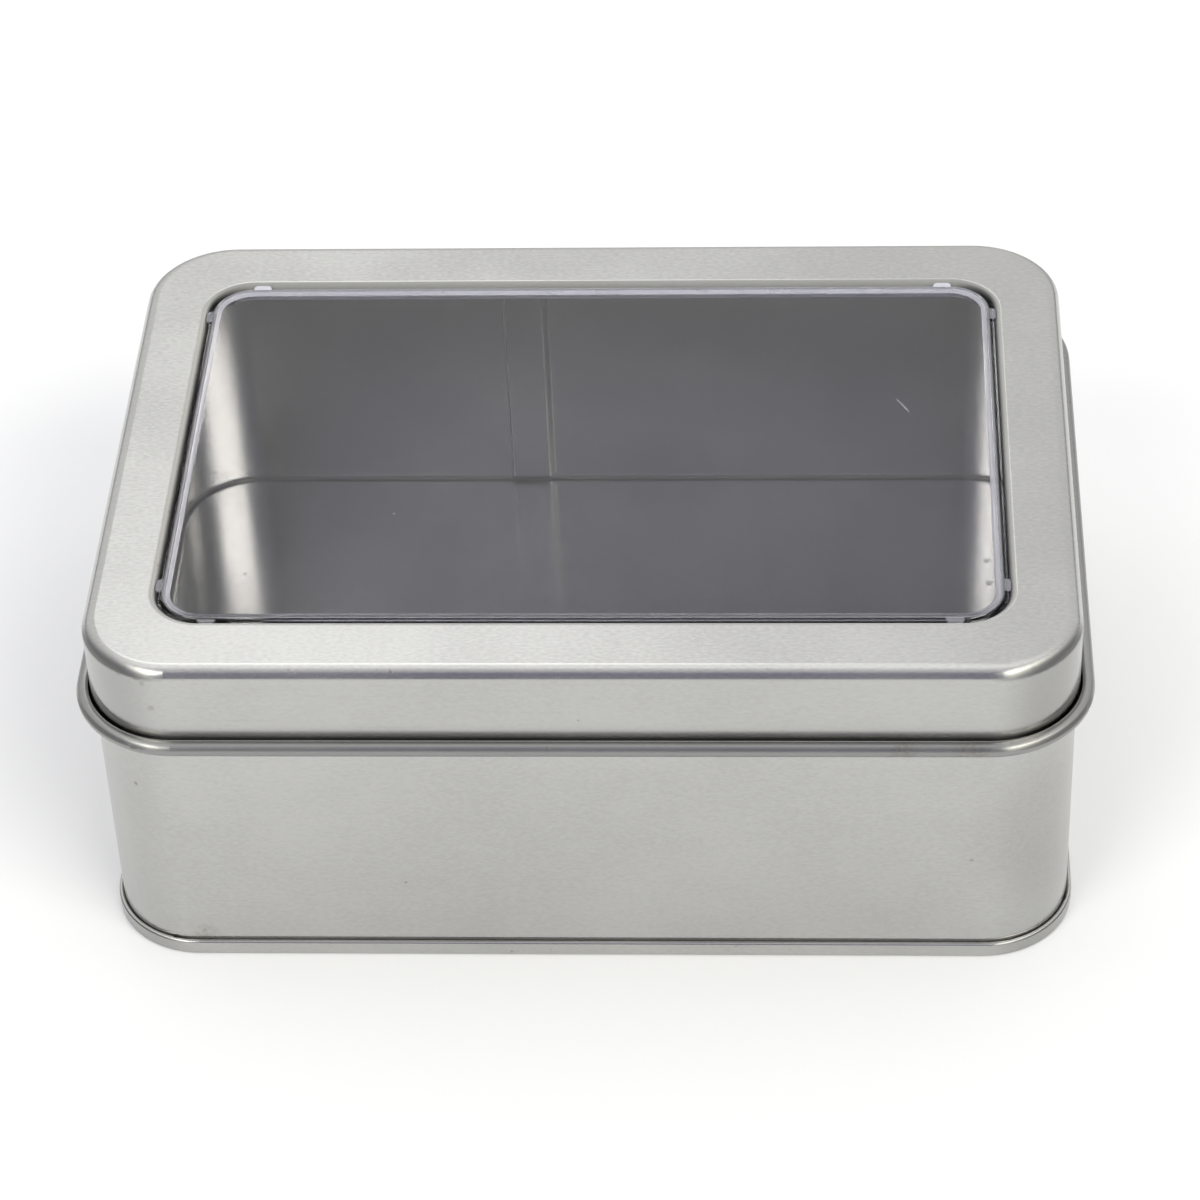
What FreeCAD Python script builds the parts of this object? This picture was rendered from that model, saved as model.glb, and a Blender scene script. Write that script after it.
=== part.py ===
import FreeCAD
import Part
import Sketcher
import math
import os

# A rectangular tinplate tin with a slip-on lid and a clear window.
# Millimetres, +Z up, origin on the table under the middle of the tin, front wall towards -Y.

SIZES = {
    # The tin as a whole
    "tin_height": 49.3,
    "tinplate": 0.2,
    "fold_play": 0.02,
    # The wall
    "body_width": 125.5,
    "body_depth": 90.4,
    "body_corner": 11.35,
    "rim_hem": 3.0,
    "rim_reach": 0.6,
    # The lock seam of the wall
    "seam_place": -12.0,
    "seam_width": 5.4,
    "seam_bend": 0.25,
    "seam_clear": 0.8,
    # The floor and the foot seam
    "floor_height": 7.2,
    "floor_edge": 0.9,
    "foot_height": 2.2,
    "foot_edge": 0.35,
    # The lid
    "slip_gap": 0.2,
    "lid_height": 13.0,
    "lid_edge": 1.8,
    "curl_size": 2.05,
    "frame_side": 9.05,
    "frame_front": 9.95,
    "window_corner": 6.0,
    "window_edge": 1.0,
    "window_lip": 1.9,
    # The pane
    "pane_sheet": 0.4,
    "pane_gap": 0.45,
    "pane_drop": 0.1,
    "pane_root": 0.25,
    "pane_flange": 4.2,
    "rib_crest": 0.6,
    "rib_run": 0.3,
    "nub_length": 2.4,
    "nub_inset": 1.0,
    # How far a cut runs past the sheet
    "overrun": 1.0,
}

# Angles in degrees
QUARTER = math.degrees(math.pi / 2)
CURL_END = 30
JOGGLE_SLOPE = 45
RIB_SLOPE = 40

# Parts of the window edge's bend, where the snap nubs of the pane sit
NUB_CATCH_SHARE = 0.15
NUB_BASE_SHARE = 0.42
NUB_TOP_SHARE = 0.17

document = FreeCAD.newDocument("window_lid_tin")
sheet = document.addObject("Spreadsheet::Sheet", "sizes")
for row, (name, value) in enumerate(SIZES.items(), start=1):
    sheet.set(f"A{row}", name)
    sheet.set(f"B{row}", str(value))
    sheet.setAlias(f"B{row}", name)
document.recompute()


class Size:
    """A length made of shares of the sheet's cells, so that it has a number and a formula that follows the sheet."""

    def __init__(self, shares):
        self.shares = {name: share for name, share in shares.items() if abs(share) > 1e-12}

    def __add__(self, other):
        total = dict(self.shares)
        for name, share in other.shares.items():
            total[name] = total.get(name, 0) + share
        return Size(total)

    def __mul__(self, share):
        return Size({name: own * share for name, own in self.shares.items()})

    def __neg__(self):
        return self * -1

    def __sub__(self, other):
        return self + -other

    def __truediv__(self, count):
        return self * (1 / count)

    @property
    def number(self):
        return sum(sheet.get(name) * share for name, share in self.shares.items())

    @property
    def formula(self):
        return " + ".join(f"{share:.12f} * sizes.{name}" for name, share in self.shares.items())


def size(name):
    return Size({name: 1})


NOTHING = Size({})


class Outline:
    """A closed outline in a sketch, with each corner and radius held by a formula."""

    def __init__(self, sketch):
        self.sketch = sketch
        self.pieces = []

    def line(self, first, last):
        start, end = (FreeCAD.Vector(point[0].number, point[1].number, 0) for point in (first, last))
        piece = self.sketch.addGeometry(Part.LineSegment(start, end))
        self.add(piece, 1, 2, first)

    def arc(self, first, last, centre, radius, leftward):
        middle = FreeCAD.Vector(centre[0].number, centre[1].number, 0)
        circle = Part.Circle(middle, FreeCAD.Vector(0, 0, 1), radius.number)
        ends = (first, last) if leftward else (last, first)
        angles = [math.atan2(point[1].number - middle.y, point[0].number - middle.x) for point in ends]
        piece = self.sketch.addGeometry(Part.ArcOfCircle(circle, *angles))
        self.add(piece, 1 if leftward else 2, 2 if leftward else 1, first)
        self.hold("Radius", (piece,), radius)

    def add(self, piece, start, end, first):
        for kind, axis, place in (("DistanceX", -2, first[0]), ("DistanceY", -1, first[1])):
            if place.shares:
                self.hold(kind, (-1, 1, piece, start), place)
            else:
                self.sketch.addConstraint(Sketcher.Constraint("PointOnObject", piece, start, axis))
        self.pieces.append((piece, start, end))

    def hold(self, kind, points, length):
        index = self.sketch.addConstraint(Sketcher.Constraint(kind, *points, length.number))
        self.sketch.setExpression(f"Constraints[{index}]", length.formula)

    def close(self):
        for this, following in zip(self.pieces, self.pieces[1:] + self.pieces[:1]):
            self.sketch.addConstraint(Sketcher.Constraint("Coincident", this[0], this[2], following[0], following[1]))


class Strip:
    """The section of a bent sheet: runs and bends along one face, with the sheet on the left (1) or right (-1)."""

    def __init__(self, start, heading, side, thickness):
        self.heading = heading
        self.side = side
        self.thickness = thickness
        self.points = [start]
        self.headings = [heading]
        self.bends = []

    def ahead(self, point, heading, length):
        across, up = (round(turn(math.radians(heading)), 12) for turn in (math.cos, math.sin))
        return (point[0] + length * across, point[1] + length * up)

    def step(self, point, bend):
        self.points.append(point)
        self.headings.append(self.heading)
        self.bends.append(bend)
        return self

    def run(self, length):
        return self.step(self.ahead(self.points[-1], self.heading, length), None)

    def bend(self, inner, turn):
        """Turns by that many degrees, leftwards if positive, round an inner radius."""
        left = 1 if turn > 0 else -1
        own = inner + self.thickness if left == self.side else inner
        other = inner if left == self.side else inner + self.thickness
        centre = self.ahead(self.points[-1], self.heading + left * QUARTER, own)
        self.heading += turn
        return self.step(self.ahead(centre, self.heading - left * QUARTER, own), (centre, own, other, left > 0))

    def fold(self, inner, turn):
        """A half turn, as two quarter bends."""
        return self.bend(inner, turn).bend(inner, turn)

    def draw(self, sketch):
        outline = Outline(sketch)
        far = [self.ahead(point, heading + self.side * QUARTER, self.thickness)
               for point, heading in zip(self.points, self.headings)]
        last = len(self.bends) - 1
        for index, bend in enumerate(self.bends):
            self.draw_piece(outline, self.points[index], self.points[index + 1], bend, 1)
        outline.line(self.points[-1], far[-1])
        for index in range(last, -1, -1):
            self.draw_piece(outline, far[index + 1], far[index], self.bends[index], -1)
        outline.line(far[0], self.points[0])
        outline.close()

    def draw_piece(self, outline, first, last, bend, way):
        if bend is None:
            outline.line(first, last)
        else:
            centre, own, other, leftward = bend
            outline.arc(first, last, centre, own if way == 1 else other, leftward == (way == 1))


def draw_loop(sketch, half_x, half_y, corner):
    """A rectangle with round corners about the origin, which starts in the middle of its right side."""
    outline = Outline(sketch)
    flat_x, flat_y = half_x - corner, half_y - corner
    outline.line((half_x, NOTHING), (half_x, flat_y))
    outline.arc((half_x, flat_y), (flat_x, half_y), (flat_x, flat_y), corner, True)
    outline.line((flat_x, half_y), (-flat_x, half_y))
    outline.arc((-flat_x, half_y), (-half_x, flat_y), (-flat_x, flat_y), corner, True)
    outline.line((-half_x, flat_y), (-half_x, -flat_y))
    outline.arc((-half_x, -flat_y), (-flat_x, -half_y), (-flat_x, -flat_y), corner, True)
    outline.line((-flat_x, -half_y), (flat_x, -half_y))
    outline.arc((flat_x, -half_y), (half_x, -flat_y), (flat_x, -flat_y), corner, True)
    outline.line((half_x, -flat_y), (half_x, NOTHING))
    outline.close()


def draw_box(sketch, left, right, front, back):
    outline = Outline(sketch)
    corners = [(left, front), (right, front), (right, back), (left, back)]
    for first, last in zip(corners, corners[1:] + corners[:1]):
        outline.line(first, last)
    outline.close()


def draw_nub(sketch, middle, root, reach, length, turns):
    """A low bump with round shoulders about a point, which stands out along +X and is then turned by quarter turns."""
    half = length / 2
    flat = half - reach
    corners = [(-root, half), (-root, -half), (NOTHING, -half), (reach, -flat), (reach, flat), (NOTHING, half)]
    centres = {2: (NOTHING, -flat), 4: (NOTHING, flat)}

    def place(point):
        for _ in range(turns):
            point = (-point[1], point[0])
        return (middle[0] + point[0], middle[1] + point[1])

    outline = Outline(sketch)
    for index, corner in enumerate(corners):
        ends = place(corner), place(corners[(index + 1) % len(corners)])
        if index in centres:
            outline.arc(*ends, place(centres[index]), reach, True)
        else:
            outline.line(*ends)
    outline.close()


def new_body(name):
    body = document.addObject("PartDesign::Body", name)
    body.Label = name
    body.Placement = FreeCAD.Placement()
    return body


def new_sketch(body, name, role, height=NOTHING):
    sketch = body.newObject("Sketcher::SketchObject", name)
    plane = next(feature for feature in body.Origin.OriginFeatures if feature.Role == role)
    sketch.AttachmentSupport = (plane, [""])
    sketch.MapMode = "FlatFace"
    if height.shares:
        sketch.setExpression("AttachmentOffset.Base.z", height.formula)
    return sketch


def sweep(body, name, strip, half_x, half_y, corner):
    """Carries a sheet section once round a rectangle with round corners."""
    spine = new_sketch(body, f"{name}_path", "XY_Plane")
    draw_loop(spine, half_x, half_y, corner)
    profile = new_sketch(body, f"{name}_section", "XZ_Plane")
    strip.draw(profile)
    document.recompute()
    pipe = body.newObject("PartDesign::AdditivePipe", name)
    pipe.Profile = profile
    pipe.Spine = (spine, [f"Edge{index + 1}" for index in range(len(spine.Shape.Edges))])
    document.recompute()
    return pipe


def raise_sketch(body, name, sketch, height):
    pad = body.newObject("PartDesign::Pad", name)
    pad.Profile = sketch
    pad.setExpression("Length", height.formula)
    document.recompute()
    return pad


tin_height = size("tin_height")
tinplate = size("tinplate")
fold_play = size("fold_play")
body_half_x = size("body_width") / 2
body_half_y = size("body_depth") / 2
body_corner = size("body_corner")

# A fold round one other layer of sheet
fold_inner = tinplate / 2 + fold_play
fold_outer = fold_inner + tinplate

# Heights in the foot seam: the turn of the wall's hook and the turn of the floor's edge above it
wall_turn = tinplate + fold_play + fold_outer
foot_turn = size("foot_height") - fold_outer
rim_top = tin_height - size("lid_edge") + size("rim_reach")

# The wall, from the tip of its foot hook up to the hem of its rim
body_wall = new_body("body_wall")
hem_inner = fold_play / 2
hem_turn = rim_top - hem_inner - tinplate
wall = Strip((body_half_x + fold_inner * 2, foot_turn - fold_play), -QUARTER, 1, tinplate)
wall.run(foot_turn - fold_play - wall_turn).fold(fold_inner, -QUARTER)
wall.run(hem_turn - wall_turn).fold(hem_inner, QUARTER)
wall.run(size("rim_hem") - hem_inner - tinplate)
sweep(body_wall, "wall", wall, body_half_x, body_half_y, body_corner)

# The lock seam between the floor and the hem of the rim: one end of the wall hooks inwards, the other hooks round it
seam_low = size("floor_height") + size("seam_clear")
seam_high = rim_top - size("rim_hem") - size("seam_clear")
seam_left = size("seam_place") - size("seam_width") / 2
seam_right = size("seam_place") + size("seam_width") / 2
seam_bend = size("seam_bend")
hook_start = seam_right - fold_outer
hook_run = size("seam_width") - fold_outer * 2 - fold_play
slope_sine, slope_cosine = (turn(math.radians(JOGGLE_SLOPE)) for turn in (math.sin, math.cos))
joggle_bends = seam_bend * 2 + tinplate
joggle_depth = (tinplate + fold_play) * 3
joggle_slope = (joggle_depth - joggle_bends * (1 - slope_cosine)) / slope_sine
joggle_start = seam_right + joggle_bends * slope_sine + joggle_slope * slope_cosine

slot = new_sketch(body_wall, "seam_slot_outline", "XY_Plane", seam_low)
draw_box(slot, hook_start, joggle_start, body_half_y - tinplate - fold_play, body_half_y + size("overrun"))
pocket = body_wall.newObject("PartDesign::Pocket", "seam_slot")
pocket.Profile = slot
pocket.Reversed = True
pocket.setExpression("Length", (seam_high - seam_low).formula)
document.recompute()

seam = new_sketch(body_wall, "seam_outline", "XY_Plane", seam_low)
left_hook = Strip((hook_start, body_half_y), 0, -1, tinplate)
left_hook.fold(fold_inner, -QUARTER).run(hook_run).draw(seam)
right_hook = Strip((joggle_start, body_half_y), 2 * QUARTER, 1, tinplate)
right_hook.bend(seam_bend, JOGGLE_SLOPE).run(joggle_slope).bend(seam_bend, -JOGGLE_SLOPE)
right_hook.run(size("seam_width") - fold_outer).fold(fold_inner, -QUARTER).run(hook_run).draw(seam)
raise_sketch(body_wall, "seam", seam, seam_high - seam_low)

# The floor, with its edge turned down inside the wall and rolled round the wall's foot hook
base_panel = new_body("base_panel")
floor_height = size("floor_height")
floor_edge = size("floor_edge")
foot_edge = size("foot_edge")
floor_inset = tinplate + fold_play
foot_channel = tinplate * 3 + fold_play * 4
foot_bend = foot_edge - tinplate
foot = Strip((body_half_x - floor_inset - floor_edge, floor_height), 0, -1, tinplate)
foot.bend(floor_edge - tinplate, -QUARTER).run(floor_height - floor_edge - foot_edge)
foot.bend(foot_bend, QUARTER).run(foot_channel - foot_bend * 2).bend(foot_bend, QUARTER)
foot.run(foot_turn - foot_edge).fold(fold_inner, QUARTER).run(foot_turn - wall_turn - fold_play)
sweep(base_panel, "foot", foot, body_half_x, body_half_y, body_corner)

floor_reach = floor_inset + floor_edge
floor_outline = new_sketch(base_panel, "floor_outline", "XY_Plane", floor_height - tinplate)
draw_loop(floor_outline, body_half_x - floor_reach, body_half_y - floor_reach, body_corner - floor_reach)
raise_sketch(base_panel, "floor", floor_outline, tinplate)

# The lid, from its top edge down the skirt and round the curl
lid_shell = new_body("lid_shell")
lid_edge = size("lid_edge")
lid_reach = size("slip_gap") + tinplate
lid_half_x = body_half_x + lid_reach
lid_half_y = body_half_y + lid_reach
lid_corner = body_corner + lid_reach
curl_inner = size("curl_size") / 2 - tinplate
skirt_run = size("lid_height") - lid_edge - size("curl_size") / 2
skirt = Strip((lid_half_x - lid_edge, tin_height), 0, -1, tinplate)
skirt.bend(lid_edge - tinplate, -QUARTER).run(skirt_run)
skirt.fold(curl_inner, QUARTER).bend(curl_inner, QUARTER).bend(curl_inner, CURL_END)
sweep(lid_shell, "skirt", skirt, lid_half_x, lid_half_y, lid_corner)

window_edge = size("window_edge")
window_corner = size("window_corner")
window_half_x = lid_half_x - size("frame_side")
window_half_y = lid_half_y - size("frame_front")
frame = new_sketch(lid_shell, "frame_outline", "XY_Plane", tin_height - tinplate)
draw_loop(frame, lid_half_x - lid_edge, lid_half_y - lid_edge, lid_corner - lid_edge)
draw_loop(frame, window_half_x + window_edge, window_half_y + window_edge, window_corner + window_edge)
raise_sketch(lid_shell, "frame", frame, tinplate)

lip = Strip((window_half_x + window_edge, tin_height), 2 * QUARTER, 1, tinplate)
lip.bend(window_edge - tinplate, QUARTER).run(size("window_lip") - window_edge)
sweep(lid_shell, "lip", lip, window_half_x, window_half_y, window_corner)

# The pane, from the flange under the lip up over the rib to the clear panel
window_pane = new_body("window_pane")
pane_sheet = size("pane_sheet")
pane_gap = size("pane_gap")
pane_root = size("pane_root")
rib_crest = size("rib_crest")
crest_height = tin_height - size("pane_drop")
flange_height = tin_height - size("window_lip") - fold_play
border = Strip((window_half_x - pane_gap + size("pane_flange"), flange_height), 2 * QUARTER, 1, pane_sheet)
border.run(size("pane_flange") - pane_root).bend(pane_root, -QUARTER)
border.run(crest_height - rib_crest - flange_height - pane_root)
border.bend(rib_crest - pane_sheet, QUARTER).bend(rib_crest - pane_sheet, RIB_SLOPE)
border.run(size("rib_run")).bend(pane_root, -RIB_SLOPE)
sweep(window_pane, "border", border, window_half_x, window_half_y, window_corner)

panel_inset = window_half_x - border.points[-1][0]
panel_outline = new_sketch(window_pane, "panel_outline", "XY_Plane", border.points[-1][1] - pane_sheet)
draw_loop(panel_outline, window_half_x - panel_inset, window_half_y - panel_inset, window_corner - panel_inset)
raise_sketch(window_pane, "panel", panel_outline, pane_sheet)

# Snap nubs on the rib, two to a side beside each corner, which rest on the bend of the window's edge
nub_base = tin_height - window_edge * NUB_BASE_SHARE
nub_depth = window_edge * (NUB_BASE_SHARE - NUB_TOP_SHARE)
nub_reach = pane_gap + window_edge * NUB_CATCH_SHARE
nub_root = rib_crest / 2
nub_x = window_half_x - window_corner - size("nub_inset")
nub_y = window_half_y - window_corner - size("nub_inset")
nubs = new_sketch(window_pane, "nub_outlines", "XY_Plane", nub_base)
for side in (1, -1):
    for turns, face, along in ((0, window_half_x, nub_y), (1, window_half_y, nub_x)):
        for way in (1, -1):
            across = (face - pane_gap) * way
            middle = (across, along * side) if turns == 0 else (along * side, across)
            draw_nub(nubs, middle, nub_root, nub_reach, size("nub_length"), turns + (0 if way == 1 else 2))
raise_sketch(window_pane, "nubs", nubs, nub_depth)

bodies = (body_wall, base_panel, lid_shell, window_pane)
document.recompute()
faulty = [item.Name for item in document.Objects if {"Invalid", "Error"} & set(item.State)]
if faulty:
    raise RuntimeError(f"objects that failed: {faulty}")
for body in bodies:
    if body.Shape.isNull() or not body.Shape.isValid() or len(body.Shape.Solids) != 1:
        raise RuntimeError(f"{body.Label} is not one valid solid")

os.makedirs("parts", exist_ok=True)
for body in bodies:
    body.Shape.exportStep(f"parts/{body.Label}.step")
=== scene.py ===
import math

import bpy
from mathutils import Matrix, Vector

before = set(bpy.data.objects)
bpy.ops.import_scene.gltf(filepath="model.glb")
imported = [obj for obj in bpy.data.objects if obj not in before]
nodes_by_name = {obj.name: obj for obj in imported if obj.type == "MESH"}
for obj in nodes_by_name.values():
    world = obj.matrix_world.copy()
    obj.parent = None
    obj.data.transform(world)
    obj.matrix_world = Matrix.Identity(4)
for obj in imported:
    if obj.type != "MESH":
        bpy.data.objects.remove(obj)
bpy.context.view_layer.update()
scene = bpy.context.scene

WHITE = (1.0, 1.0, 1.0, 1.0)
BLACK = (0.0, 0.0, 0.0, 1.0)


# Camera, at the photograph's viewing angle. Lens and sensor are in millimetres
CAMERA_PLACE = Vector((0.029631, -0.422191, 0.382634))
CAMERA_PITCH = math.radians(40.423)
CAMERA_YAW = math.radians(3.971)
CAMERA_ROLL = math.radians(-2.614)
CAMERA_LENS = 122.377
CAMERA_SENSOR = 36


def add_camera():
    forward = Vector((
        -math.sin(CAMERA_YAW) * math.cos(CAMERA_PITCH),
        math.cos(CAMERA_YAW) * math.cos(CAMERA_PITCH),
        -math.sin(CAMERA_PITCH),
    ))
    right = Vector((math.cos(CAMERA_YAW), math.sin(CAMERA_YAW), 0))
    up = right.cross(forward)
    turned_right = right * math.cos(CAMERA_ROLL) + up * math.sin(CAMERA_ROLL)
    turned_up = up * math.cos(CAMERA_ROLL) - right * math.sin(CAMERA_ROLL)
    data = bpy.data.cameras.new("camera")
    data.lens = CAMERA_LENS
    data.sensor_width = CAMERA_SENSOR
    camera = bpy.data.objects.new("camera", data)
    scene.collection.objects.link(camera)
    turn = Matrix((turned_right, turned_up, -forward)).transposed().to_4x4()
    camera.matrix_world = Matrix.Translation(CAMERA_PLACE) @ turn
    scene.camera = camera


class Tree:
    """A short way to write a node tree."""

    def __init__(self, tree):
        self.tree = tree
        tree.nodes.clear()

    def add(self, kind, links=None, **values):
        node = self.tree.nodes.new(kind)
        for name, value in values.items():
            setattr(node, name, value)
        for socket, source in (links or {}).items():
            self.put(node, socket, source)
        return node

    def put(self, node, socket, source):
        target = node.inputs[socket]
        if isinstance(source, bpy.types.NodeSocket):
            self.tree.links.new(source, target)
        elif isinstance(source, bpy.types.Node):
            self.tree.links.new(source.outputs[0], target)
        else:
            target.default_value = source

    def math(self, operation, first, second=0.0, third=0.0):
        links = {0: first, 1: second, 2: third}
        return self.add("ShaderNodeMath", links, operation=operation).outputs[0]

    def times(self, first, *others):
        for other in others:
            first = self.math("MULTIPLY", first, other)
        return first

    def most(self, first, *others):
        for other in others:
            first = self.math("MAXIMUM", first, other)
        return first

    def size(self, value):
        return self.math("ABSOLUTE", value)

    def swing(self, value, strength, base):
        """A base value that a noise, which lies about one half, moves up and down."""
        return self.math("MULTIPLY_ADD", self.math("SUBTRACT", value, 0.5), strength, base)

    def dot(self, first_x, second_x, first_y, second_y):
        return self.math("MULTIPLY_ADD", first_x, second_x, self.times(first_y, second_y))

    def split(self, vector):
        return self.add("ShaderNodeSeparateXYZ", {0: vector}).outputs

    def join(self, x, y, z):
        return self.add("ShaderNodeCombineXYZ", {0: x, 1: y, 2: z}).outputs[0]

    def distance(self, place, middle):
        node = self.add("ShaderNodeVectorMath", {0: place, 1: middle}, operation="DISTANCE")
        return node.outputs["Value"]

    def ramp(self, value, low, high, to_low=0.0, to_high=1.0, smooth=True):
        kind = "SMOOTHSTEP" if smooth else "LINEAR"
        links = {
            "Value": value, "From Min": low, "From Max": high, "To Min": to_low, "To Max": to_high,
        }
        return self.add("ShaderNodeMapRange", links, interpolation_type=kind).outputs[0]

    def band(self, value, low, high, edge):
        rising = self.ramp(value, low - edge, low + edge)
        falling = self.ramp(value, high + edge, high - edge)
        return self.times(rising, falling)

    def mix(self, factor, first, second, blend="MIX"):
        node = self.add("ShaderNodeMix", data_type="RGBA", blend_type=blend, clamp_result=False)
        self.put(node, 0, factor)
        self.put(node, 6, first)
        self.put(node, 7, second)
        return node.outputs[2]

    def reach(self, x, y, half_x, half_y, corner):
        """How far a place is outside an outline with rounded corners, right near the outline."""
        over = []
        for place, half in ((x, half_x), (y, half_y)):
            beyond = self.math("SUBTRACT", self.size(place), half - corner)
            over.append(self.most(beyond, 0.0))
        squares = self.dot(over[0], over[0], over[1], over[1])
        return self.math("SUBTRACT", self.math("SQRT", squares), corner)

    def noise(self, place, scale, detail, roughness):
        links = {"Vector": place, "Scale": scale, "Detail": detail, "Roughness": roughness}
        return self.add("ShaderNodeTexNoise", links).outputs[0]

    def stretch(self, place, scale, turn=(0.0, 0.0, 0.0)):
        links = {"Vector": place, "Scale": scale, "Rotation": turn}
        return self.add("ShaderNodeMapping", links).outputs[0]

    def bump(self, height):
        return self.add("ShaderNodeBump", {"Strength": 1.0, "Distance": 1.0, "Height": height})

    def finish(self, shader):
        self.add("ShaderNodeOutputMaterial", {"Surface": shader})


def new_material(name):
    material = bpy.data.materials.new(name)
    material.use_nodes = True
    return material, Tree(material.node_tree)


def way_to(azimuth, elevation):
    """The unit vector to a place in the sky, with azimuth from +Y towards +X."""
    turn = math.radians(azimuth)
    rise = math.radians(elevation)
    level = math.cos(rise)
    return Vector((math.sin(turn) * level, math.cos(turn) * level, math.sin(rise)))


# Sky of the studio: a tent that is lighter overhead and dark behind the camera, a small diffuser
# behind the tin, and two upright softboxes in front of it. The pairs named ACROSS, UP and AHEAD
# are where a part of the tent begins and is complete, on the sky's unit vector, and angles are
# in degrees
TENT_LEFT = (0.975, 0.975, 0.975, 1.0)
TENT_RIGHT = (0.93, 0.93, 0.93, 1.0)
TENT_ACROSS = (0.667, -0.325)
TENT_TOP = (0.5, 0.5, 0.5, 1.0)
TENT_TOP_UP = (0.72, 0.95)
TENT_FRONT = (0.32, 0.315, 0.4, 1.0)
TENT_FRONT_AHEAD = (0.08, -0.3)
TENT_FRONT_LOW = (0.36, 0.36, 0.43, 1.0)
TENT_FRONT_LOW_UP = (0.3, 0.5)
TENT_FRONT_TOP = (0.86, 0.86, 0.9, 1.0)
TENT_FRONT_TOP_UP = (0.7, 0.95)
HORIZON_SHADE = 0.8
HORIZON_UP = (0.25, 0.0)
DIFFUSER_WAY = way_to(-12.5, 50.3)
DIFFUSER_OUTER = 12.0
DIFFUSER_INNER = 2.0
DIFFUSER_LIGHT = (1.45, 1.45, 1.45, 1.0)
SOFTBOXES = (
    {"turn": (112, 159), "rise": (28, 53), "light": (6.8, 6.7, 6.0, 1.0)},
    {"turn": (-158, -126), "rise": (28, 53), "light": (6.2, 6.15, 5.7, 1.0)},
)
SOFTBOX_EDGE = 5


def make_world():
    world = bpy.data.worlds.new("studio")
    world.use_nodes = True
    scene.world = world
    tree = Tree(world.node_tree)
    way = tree.add("ShaderNodeTexCoord").outputs["Generated"]
    across, ahead, up = tree.split(way)
    turn = tree.math("DEGREES", tree.math("ARCTAN2", across, ahead))
    rise = tree.math("DEGREES", tree.math("ARCSINE", up))

    sky = tree.mix(tree.ramp(across, *TENT_ACROSS), TENT_RIGHT, TENT_LEFT)
    sky = tree.mix(tree.ramp(up, *TENT_TOP_UP), sky, TENT_TOP, "ADD")
    front = tree.mix(tree.ramp(up, *TENT_FRONT_LOW_UP), TENT_FRONT_LOW, TENT_FRONT)
    front = tree.mix(tree.ramp(up, *TENT_FRONT_TOP_UP), front, TENT_FRONT_TOP)
    sky = tree.mix(tree.ramp(ahead, *TENT_FRONT_AHEAD), sky, front)
    sky = tree.mix(tree.ramp(up, *HORIZON_UP, 0.0, HORIZON_SHADE), sky, BLACK)

    links = {0: way, 1: DIFFUSER_WAY}
    near = tree.add("ShaderNodeVectorMath", links, operation="DOT_PRODUCT").outputs["Value"]
    cosines = [math.cos(math.radians(angle)) for angle in (DIFFUSER_OUTER, DIFFUSER_INNER)]
    sky = tree.mix(tree.ramp(near, *cosines), sky, DIFFUSER_LIGHT, "ADD")
    for box in SOFTBOXES:
        wide = tree.band(turn, *box["turn"], SOFTBOX_EDGE)
        high = tree.band(rise, *box["rise"], SOFTBOX_EDGE)
        sky = tree.mix(tree.times(wide, high), sky, box["light"])

    # What the camera itself sees beyond the floor is plain white
    seen = tree.add("ShaderNodeLightPath").outputs["Is Camera Ray"]
    back = tree.add("ShaderNodeBackground", {"Color": tree.mix(seen, sky, WHITE)})
    tree.add("ShaderNodeOutputWorld", {"Surface": back})


FLOOR_REACH = 60.0
FLOOR_PAPER = (0.78, 0.785, 0.8, 1.0)
FLOOR_ROUGHNESS = 0.9


def add_floor():
    ends = (-FLOOR_REACH, FLOOR_REACH)
    corners = [(x, y, 0) for x in ends for y in ends]
    mesh = bpy.data.meshes.new("floor")
    mesh.from_pydata(corners, [], [(0, 2, 3, 1)])
    floor = bpy.data.objects.new("floor", mesh)
    scene.collection.objects.link(floor)
    material, tree = new_material("floor_paper")
    links = {"Base Color": FLOOR_PAPER, "Roughness": FLOOR_ROUGHNESS}
    tree.finish(tree.add("ShaderNodeBsdfPrincipled", links))
    mesh.materials.append(material)


SPECK_EDGE = (1.0, 0.6)
SCRATCH_ALONG = 45.0
SCRATCH_NOISE = (1.0, 1.0, 0.4)
SCRATCH_EDGE = 0.03


def specks(tree, place, scale, share, radius):
    """Small round marks: a share of a scattered grid's cells, each with a dot at its middle."""
    cells = tree.add("ShaderNodeTexVoronoi", {"Vector": place, "Scale": scale})
    chance = tree.add("ShaderNodeSeparateColor", {0: cells.outputs["Color"]})
    chosen = tree.math("LESS_THAN", chance.outputs[0], share)
    size = tree.times(chance.outputs[1], radius)
    dot = tree.ramp(tree.math("DIVIDE", cells.outputs["Distance"], size), *SPECK_EDGE)
    return tree.times(dot, chosen)


def scratches(tree, place, turn, fine, sparse):
    """Short straight hairlines in one direction."""
    drawn = tree.stretch(place, (SCRATCH_ALONG, fine, fine), turn)
    return tree.ramp(tree.noise(drawn, *SCRATCH_NOISE), sparse, sparse + SCRATCH_EDGE)


# Tinplate's colours: clean, dull, painted shade at corners, lip and curl, deeper painted shade in
# folds and tight bends, and worn, which also colours two painted shade patches
TIN = (0.525, 0.522, 0.507, 1.0)
TIN_DULL = (0.455, 0.452, 0.439, 1.0)
TIN_SHADED = (0.33, 0.33, 0.32, 1.0)
TIN_FOLD_SHADE = (0.15, 0.15, 0.15, 1.0)
TIN_WORN_AND_SHADE = (0.2, 0.17, 0.13, 1.0)

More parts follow.
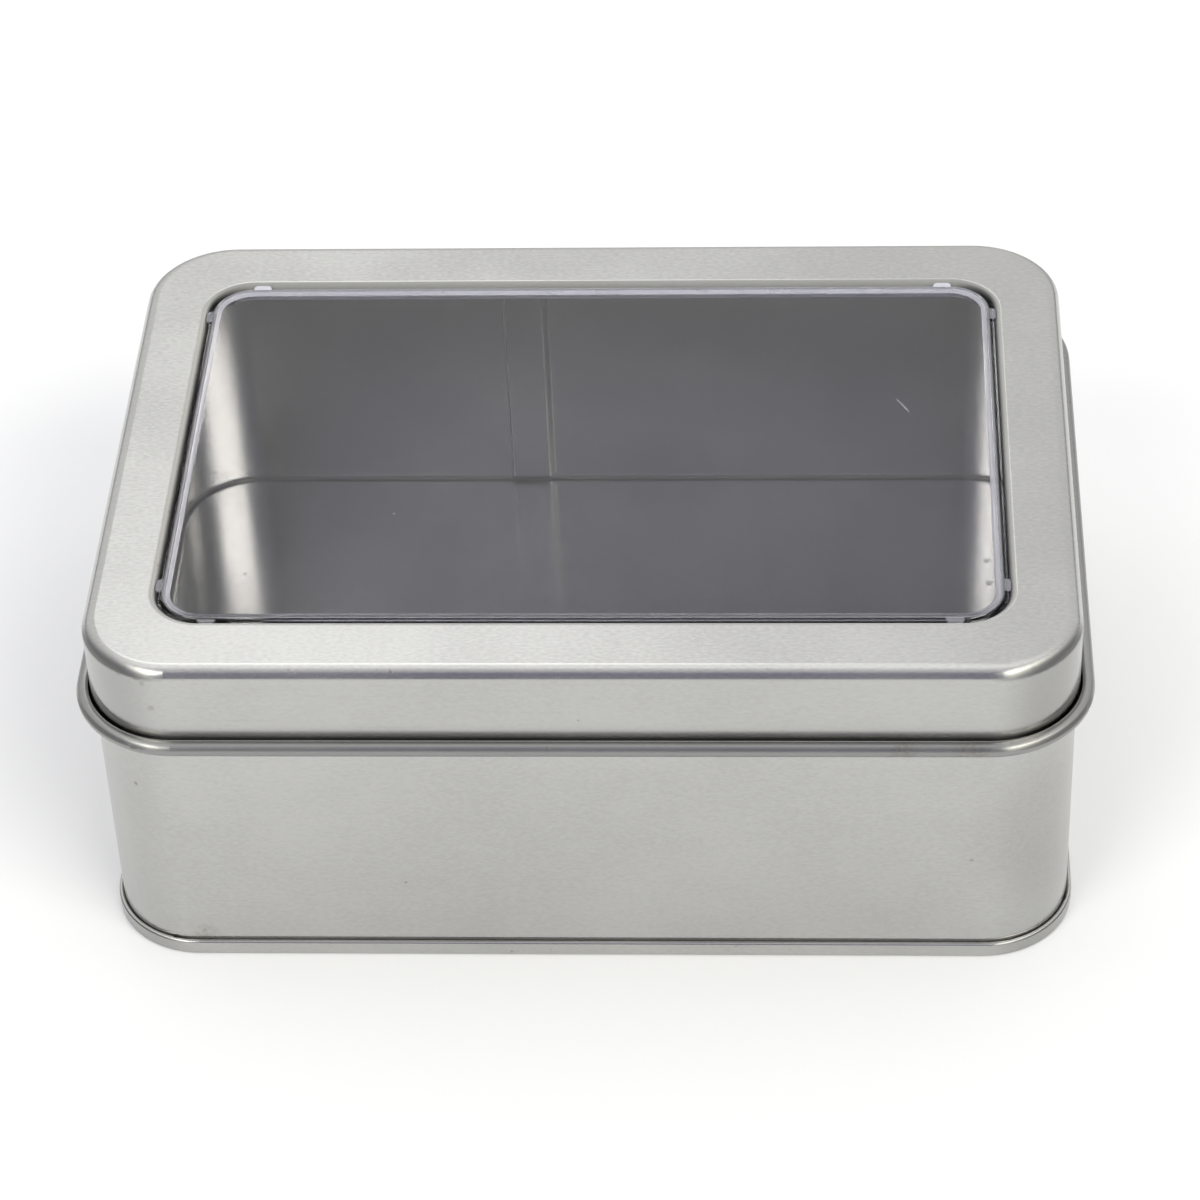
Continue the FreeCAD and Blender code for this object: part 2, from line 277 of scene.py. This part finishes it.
# Fineness of the grain, in features for each metre along and across the way it was rolled. The
# streaks are the grain's larger kin. The other noises give fineness, detail and roughness
GRAIN_ALONG = 1300.0
GRAIN_ACROSS = 3000.0
GRAIN_NOISE = (1.0, 2.0, 0.6)
STREAK_FINENESS = 0.08
STREAK_NOISE = (1.0, 2.0, 0.5)
CLOUD_NOISE = (42.0, 3.0, 0.55)
BUCKLE_NOISE = (24.0, 1.0, 0.4)
CHIP_NOISE = (700.0, 3.0, 0.6)
CHIP_RANGE = (0.68, 0.75)
CHIP_EDGE = 0.0004
RUB_NOISE = (2400.0, 2.0, 0.6)
RUB_RANGE = (0.3, 0.7)

# Hairlines as turn, fineness and sparseness, and specks as cells for each metre, share and radius
TIN_HAIRS = (((0.2, 0.5, 0.35), 2600.0, 0.68), ((0.6, -0.4, -0.9), 2600.0, 0.7))
TIN_SPECKS = (210.0, 0.16, 0.09)

# How much each of them changes the colour
GRAIN_TONE = 0.8
STREAK_TONE = 0.15
CLOUD_TONE = (0.22, 0.78)
DULL_TONE = (0.8, 0.2)
HAIR_TINT = 0.12
# The next three darken the tin with painted shade: at corners, lip and curl, in the seam's folds,
# and in tight bends
PAINTED_SHADE_TINT = 0.65
SEAM_SHADE_TINT = 0.8
BENT_SHADE_TINT = 0.75
MARK_TINT = 0.6

# How much they change the gloss, and how deep they are
CLOUD_RANGE = (0.3, 0.7)
ROUGHNESS_RANGE = (0.17, 0.21)
GRAIN_ROUGHNESS = 0.08
MARK_ROUGHNESS = 0.03
STRAIN_ROUGHNESS = 0.22
TIN_ANISOTROPY = 0.8
GRAIN_HEIGHT = 4e-7
BUCKLE_HEIGHT = 3e-5
MARK_HEIGHT = -8e-6

# Where the sheet is rougher and painted in shade: its corners, the window's lip, tight bends, the
# curl and the seam's folds. A face looks outward by its normal's way from the middle in metres,
# and a corner is found by the product of its normal's two level parts
OUTWARD_RANGE = (-0.005, 0.005)
CORNER_SHADE_RANGE = (0.0, 0.5)
WALL_SHADE_SHARE = 0.35
SEAM_FACE = (0.03, 0.2)
SEAM_REACH = (0.03, 0.025)
LIP_INWARD = (0.0, -0.003)
LIP_FACE = (0.9995, 0.97)
LIP_SHADE = 0.3
LIP_STRAIN = 2.4
BENT_CORNER = (0.0, 0.3)
BENT_FACE = (0.05, 0.3)
BENT_STRAIN = 1.6
CURL_EDGE = 0.0004
CURL_SHADE = 0.9
CURL_STRAIN_AND_SHADE = 0.5

# Marks seen in one place only: middle, reach and strength. The wider ones are rubbed patches, and
# the widest, at the right front corners, are painted shade laid on more evenly
WALL_MARKS = (
    ((0.0496, -0.0452, 0.0169), 0.0004, 0.6),
    ((-0.0504, -0.0452, 0.0031), 0.0022, 0.4),
    # Painted shade over the wall's right front corner
    ((0.0614, -0.0405, 0.02), 0.0165, 0.19),
)
LID_MARKS = (
    ((-0.0542, -0.0453, 0.0472), 0.0005, 0.5),
    ((-0.0534, -0.0454, 0.0432), 0.0006, 0.5),
    ((0.0405, -0.0474, 0.0374), 0.0022, 0.5),
    ((0.049, -0.0474, 0.0374), 0.0028, 0.45),
    # Painted shade over the lid's right front corner
    ((0.062, -0.0425, 0.042), 0.01, 0.12),
)
MARK_CORE = 0.4
RUB_FROM = 0.002
SHADE_PATCH_FROM = 0.005
SHADE_PATCH_LEAST = 0.6


def wall_strain_and_shade(tree, x, face_x, corner_shade):
    """Painted shade on a wall at its corners and in the folds of its lock seam, which are rougher
    too.
    """
    seam_face = tree.ramp(tree.size(face_x), *SEAM_FACE)
    seam = tree.times(seam_face, tree.ramp(tree.size(x), *SEAM_REACH))
    painted_shade = tree.times(corner_shade, WALL_SHADE_SHARE)
    return painted_shade, seam, tree.times(seam, SEAM_SHADE_TINT)


def sheet_strain_and_shade(tree, z, face_z, outward, corner, corner_shade, curl_top):
    """Where a pressed sheet is rough and painted in shade: at its lip, bent corners and curl."""
    lip = tree.times(tree.ramp(outward, *LIP_INWARD), tree.ramp(face_z, *LIP_FACE))
    bent = tree.times(tree.ramp(corner, *BENT_CORNER), tree.ramp(face_z, *BENT_FACE))
    # Painted shade at corners and the lip, and deeper painted shade in tight bends and on the curl
    painted_shade = tree.most(corner_shade, tree.times(lip, LIP_SHADE))
    strained = tree.most(tree.times(bent, BENT_STRAIN), tree.times(lip, LIP_STRAIN))
    if curl_top:
        curl = tree.ramp(z, curl_top, curl_top - CURL_EDGE)
        painted_shade = tree.most(painted_shade, tree.times(curl, CURL_SHADE))
        strained = tree.most(strained, tree.times(curl, CURL_STRAIN_AND_SHADE))
        bent = tree.most(bent, tree.times(curl, CURL_STRAIN_AND_SHADE))
    return painted_shade, strained, tree.times(bent, BENT_SHADE_TINT)


def find_marks(tree, place, z, worn_edges, local_marks):
    """Specks, chips at the worn edges and single marks, and apart from them the rubbed patches and
    painted shade patches.
    """
    edge = 0.0
    for low, high in worn_edges:
        edge = tree.math("ADD", edge, tree.band(z, low, high, CHIP_EDGE))
    chips = tree.times(edge, tree.ramp(tree.noise(place, *CHIP_NOISE), *CHIP_RANGE))
    marks = tree.most(specks(tree, place, *TIN_SPECKS), chips)
    rubs_and_shade = 0.0
    for middle, wide, strength in local_marks:
        far = tree.distance(place, middle)
        spot = tree.times(tree.ramp(far, wide, MARK_CORE * wide), strength)
        if wide > RUB_FROM:
            # The widest spots are painted shade, laid on more evenly
            least = SHADE_PATCH_LEAST if wide >= SHADE_PATCH_FROM else 0.0
            patchy = tree.ramp(tree.noise(place, *RUB_NOISE), *RUB_RANGE, least, 1.0)
            rubs_and_shade = tree.most(rubs_and_shade, tree.times(spot, patchy))
        else:
            marks = tree.most(marks, spot)
    return marks, rubs_and_shade


def tinplate(name, rolled_round, level, worn_edges, local_marks=(), curl_top=0.0):
    """Satin tinplate. The grain runs round a wall, or along X on a sheet flat at a level."""
    material, tree = new_material(name)
    coordinate = tree.add("ShaderNodeTexCoord")
    place = coordinate.outputs["Object"]
    x, y, z = tree.split(place)
    face_x, face_y, face_z = tree.split(coordinate.outputs["Normal"])
    if rolled_round:
        lie = place
        across = (0.0, 0.0, 1.0)
        fineness = (GRAIN_ALONG, GRAIN_ALONG, GRAIN_ACROSS)
    else:
        drop = tree.times(face_y, tree.math("SUBTRACT", z, level))
        lie = tree.join(x, tree.math("SUBTRACT", y, drop), z)
        across = tree.join(0.0, 1.0, tree.times(face_y, face_y))
        fineness = (GRAIN_ALONG, GRAIN_ACROSS, GRAIN_ALONG)
    coarse = [number * STREAK_FINENESS for number in fineness]
    grain = tree.noise(tree.stretch(lie, fineness), *GRAIN_NOISE)
    streak = tree.noise(tree.stretch(lie, coarse), *STREAK_NOISE)
    cloud = tree.noise(place, *CLOUD_NOISE)
    buckle = tree.noise(place, *BUCKLE_NOISE)

    outward = tree.dot(face_x, x, face_y, y)
    corner = tree.size(tree.times(face_x, face_y))
    corner_shade = tree.times(tree.ramp(corner, *CORNER_SHADE_RANGE), tree.ramp(outward, *OUTWARD_RANGE))
    if rolled_round:
        painted_shade, strained, deep_shade = wall_strain_and_shade(tree, x, face_x, corner_shade)
    else:
        painted_shade, strained, deep_shade = sheet_strain_and_shade(
            tree, z, face_z, outward, corner, corner_shade, curl_top)
    hairs = tree.most(*[scratches(tree, place, *hair) for hair in TIN_HAIRS])
    marks, rubs_and_shade = find_marks(tree, place, z, worn_edges, local_marks)

    clouded = tree.ramp(cloud, 0.0, 1.0, *CLOUD_TONE, smooth=False)
    tone = tree.swing(grain, GRAIN_TONE, tree.swing(streak, STREAK_TONE, clouded))
    colour = tree.mix(tree.ramp(tone, *DULL_TONE), TIN, TIN_DULL)
    colour = tree.mix(tree.times(hairs, HAIR_TINT), colour, TIN_DULL)
    # Painted shade: corners, lip and curl darkened, deeper in the seam's folds and tight bends,
    # and patches at the right front corners
    colour = tree.mix(tree.times(painted_shade, PAINTED_SHADE_TINT), colour, TIN_SHADED)
    colour = tree.mix(deep_shade, colour, TIN_FOLD_SHADE)
    colour = tree.mix(rubs_and_shade, colour, TIN_WORN_AND_SHADE)
    colour = tree.mix(tree.times(marks, MARK_TINT), colour, TIN_WORN_AND_SHADE)

    smooth = tree.ramp(cloud, *CLOUD_RANGE, *ROUGHNESS_RANGE)
    rough = tree.swing(grain, GRAIN_ROUGHNESS, smooth)
    rough = tree.math("MULTIPLY_ADD", tree.most(hairs, marks), MARK_ROUGHNESS, rough)
    rough = tree.math("MULTIPLY_ADD", strained, STRAIN_ROUGHNESS, rough)
    height = tree.dot(grain, GRAIN_HEIGHT, buckle, BUCKLE_HEIGHT)
    height = tree.math("MULTIPLY_ADD", marks, MARK_HEIGHT, height)
    links = {
        "Base Color": colour, "Metallic": 1.0, "Roughness": rough, "Normal": tree.bump(height),
        "Anisotropic": TIN_ANISOTROPY, "Tangent": across,
    }
    tree.finish(tree.add("ShaderNodeBsdfPrincipled", links))
    return material


# The pane's outline at the foot of its rib, and its colours: clear, painted shade at the rim,
# lighter painted shade at the rim on the far side, and white for dust, scratches and painted
# highlights
PANE_HALF_X = 0.0537
PANE_HALF_Y = 0.03525
PANE_CORNER = 0.00555
PANE_CLEAR = (0.84, 0.836, 0.88, 1.0)
PANE_RIM_SHADE = (0.42, 0.43, 0.47, 1.0)
PANE_FAR_RIM_SHADE = (0.75, 0.75, 0.82, 1.0)
PANE_WHITE_AND_HIGHLIGHT = (0.72, 0.72, 0.8, 1.0)
PANE_WHITE_ROUGHNESS = 0.35
PANE_IOR = 1.4

# Where the pane's parts begin and are complete, in metres or on the normal
SLOPE_INWARD = (-0.0005, -0.004)
SLOPE_TILT = (0.985, 0.93)
SLOPE_STEEP = (0.1, 0.3)
CREST_HEIGHT = (0.04904, 0.04914)
CREST_TILT = (0.3, 0.6)
RIM_REACH = (-0.0006, -0.0004)
FAR_RIM_BACK = (0.0335, 0.0345)
NUB_REACH = (0.0, 0.0001)
NUB_HEIGHT = (0.048, 0.0483)

# How white they are. The rib's painted highlight is brighter at its sides than at its back, and
# faint in front; the nubs carry a painted glint and the far rim painted light, while scratches and
# dust are white
CREST_HIGHLIGHT = 0.5
RIB_BACK = (0.033, 0.0345)
RIB_BACK_HIGHLIGHT = (0.34, 0.3)
RIB_FRONT = (-0.0343, -0.0333)
RIB_FRONT_HIGHLIGHT = (0.3, 1.0)
RIB_NOISE = (130.0, 2.0, 0.6)
RIB_NOISE_RANGE = (0.3, 0.6)
RIB_NOISE_HIGHLIGHT = (0.88, 1.0)
NUB_GLINT = 0.18
FAR_RIM_LIGHT = 0.6
SCRATCH_WHITE = 0.22
DUST_WHITE = 0.6

# One short scratch by its middle, heading and half length, and two dark dots
PANE_SCRATCH = (0.0413, 0.0087, math.radians(-59), 0.0019)
PANE_SCRATCH_WIDTH = (0.00014, 0.00004)
PANE_SCRATCH_CORE = 0.6
PANE_DOTS = ((0.0514, -0.0235, 0.0487), (0.0515, -0.0279, 0.0487))
PANE_DOT_EDGE = (0.0006, 0.0003)

# Fine hairs, dust, smears and waves in the pane
PANE_HAIRS = (((0.0, 0.0, 0.6), 2400.0, 0.74), ((0.0, 0.0, -0.8), 2400.0, 0.75))
PANE_DUST = (160.0, 0.1, 0.06)
SMEAR_NOISE = (38.0, 3.0, 0.55)
SMEAR_RANGE = (0.45, 0.75)
HAIR_ROUGHNESS = 0.15
SMEAR_ROUGHNESS = 0.04
PANE_ROUGHNESS = 0.01
WAVE_NOISE = (30.0, 1.0, 0.4)
WAVE_HEIGHT = 1.5e-6


def pane_scratch(tree, x, y):
    middle_x, middle_y, heading, half = PANE_SCRATCH
    off_x = tree.math("SUBTRACT", x, middle_x)
    off_y = tree.math("SUBTRACT", y, middle_y)
    along = tree.dot(off_x, math.cos(heading), off_y, math.sin(heading))
    aside = tree.dot(off_y, math.cos(heading), off_x, -math.sin(heading))
    thin = tree.ramp(tree.size(aside), *PANE_SCRATCH_WIDTH)
    return tree.times(thin, tree.ramp(tree.size(along), half, PANE_SCRATCH_CORE * half))


def rib_highlight(tree, place, tilt, outward):
    """Painted highlight on the rib's crest and inner slope."""
    y, z = tree.split(place)[1:]
    slope = tree.times(tree.ramp(outward, *SLOPE_INWARD), tree.ramp(tilt, *SLOPE_TILT))
    slope = tree.times(slope, tree.ramp(tilt, *SLOPE_STEEP))
    crest = tree.times(tree.ramp(z, *CREST_HEIGHT), tree.ramp(tilt, *CREST_TILT))
    back = tree.ramp(y, *RIB_BACK, *RIB_BACK_HIGHLIGHT)
    front = tree.ramp(y, *RIB_FRONT, *RIB_FRONT_HIGHLIGHT)
    uneven = tree.ramp(tree.noise(place, *RIB_NOISE), *RIB_NOISE_RANGE, *RIB_NOISE_HIGHLIGHT)
    return tree.times(tree.most(slope, tree.times(crest, CREST_HIGHLIGHT)), back, front, uneven)


def clear_plastic(name):
    """Clear formed sheet with painted highlights on its rib and nubs, painted shade at its rim,
    light scuffs and a little dust.
    """
    material, tree = new_material(name)
    coordinate = tree.add("ShaderNodeTexCoord")
    place = coordinate.outputs["Object"]
    x, y, z = tree.split(place)
    tilt_x, tilt_y, tilt_z = tree.split(coordinate.outputs["Normal"])
    outward = tree.dot(tilt_x, x, tilt_y, y)
    reach = tree.reach(x, y, PANE_HALF_X, PANE_HALF_Y, PANE_CORNER)
    # Painted shade at the pane's rim, made lighter with painted light on the far side
    shaded_rim = tree.ramp(reach, *RIM_REACH)
    lit_far_rim = tree.times(shaded_rim, tree.ramp(y, *FAR_RIM_BACK))
    # Painted glints on the nubs
    nub = tree.times(tree.ramp(reach, *NUB_REACH), tree.ramp(z, *NUB_HEIGHT))
    # White for scratches and dust, and painted highlight on the rib, nubs and far rim
    white_and_highlight = tree.most(
        rib_highlight(tree, place, tilt_z, outward),
        tree.times(nub, NUB_GLINT),
        tree.times(lit_far_rim, FAR_RIM_LIGHT),
        tree.times(pane_scratch(tree, x, y), SCRATCH_WHITE),
        tree.times(specks(tree, place, *PANE_DUST), DUST_WHITE),
    )

    tint = tree.mix(lit_far_rim, PANE_CLEAR, PANE_FAR_RIM_SHADE)
    tint = tree.mix(tree.math("SUBTRACT", shaded_rim, lit_far_rim), tint, PANE_RIM_SHADE)
    # Two dark dots on the pane, tinted like the shaded rim
    for dot in PANE_DOTS:
        tint = tree.mix(tree.ramp(tree.distance(place, dot), *PANE_DOT_EDGE), tint, PANE_RIM_SHADE)
    hairs = tree.most(*[scratches(tree, place, *hair) for hair in PANE_HAIRS])
    smear = tree.ramp(tree.noise(place, *SMEAR_NOISE), *SMEAR_RANGE)
    smeared = tree.math("MULTIPLY_ADD", smear, SMEAR_ROUGHNESS, PANE_ROUGHNESS)
    rough = tree.math("MULTIPLY_ADD", hairs, HAIR_ROUGHNESS, smeared)
    wave = tree.times(tree.noise(place, *WAVE_NOISE), WAVE_HEIGHT)
    sheet = tree.add("ShaderNodeBsdfPrincipled", {
        "Base Color": tint, "Roughness": rough, "IOR": PANE_IOR,
        "Transmission Weight": 1.0, "Normal": tree.bump(wave),
    })
    white_sheet_and_highlight = tree.add("ShaderNodeBsdfPrincipled", {
        "Base Color": PANE_WHITE_AND_HIGHLIGHT, "Roughness": PANE_WHITE_ROUGHNESS,
    })
    tree.finish(tree.add("ShaderNodeMixShader", {0: white_and_highlight, 1: sheet, 2: white_sheet_and_highlight}))
    return material


def wear(node, material):
    mesh = nodes_by_name[node].data
    mesh.materials.clear()
    mesh.materials.append(material)


# Heights on the tin: the flat sheets' levels, the top of the curl, and the spans of worn edges
BASE_LEVEL = 0.0072
LID_LEVEL = 0.0493
CURL_TOP = 0.0387
FOOT_EDGE = (0.0, 0.0022)
RIM_EDGE = (0.0472, 0.0482)
CURL_WEAR = (0.0363, 0.0384)
LID_EDGE = (0.0474, 0.0491)

scene.view_settings.view_transform = "Standard"
add_camera()
make_world()
add_floor()

wear("body_wall", tinplate("tinplate_wall", True, 0.0, (FOOT_EDGE, RIM_EDGE), WALL_MARKS))
wear("base_panel", tinplate("tinplate_base", False, BASE_LEVEL, (FOOT_EDGE,)))
wear("lid_shell", tinplate(
    "tinplate_lid", False, LID_LEVEL, (CURL_WEAR, LID_EDGE), LID_MARKS, CURL_TOP))
wear("window_pane", clear_plastic("clear_plastic"))
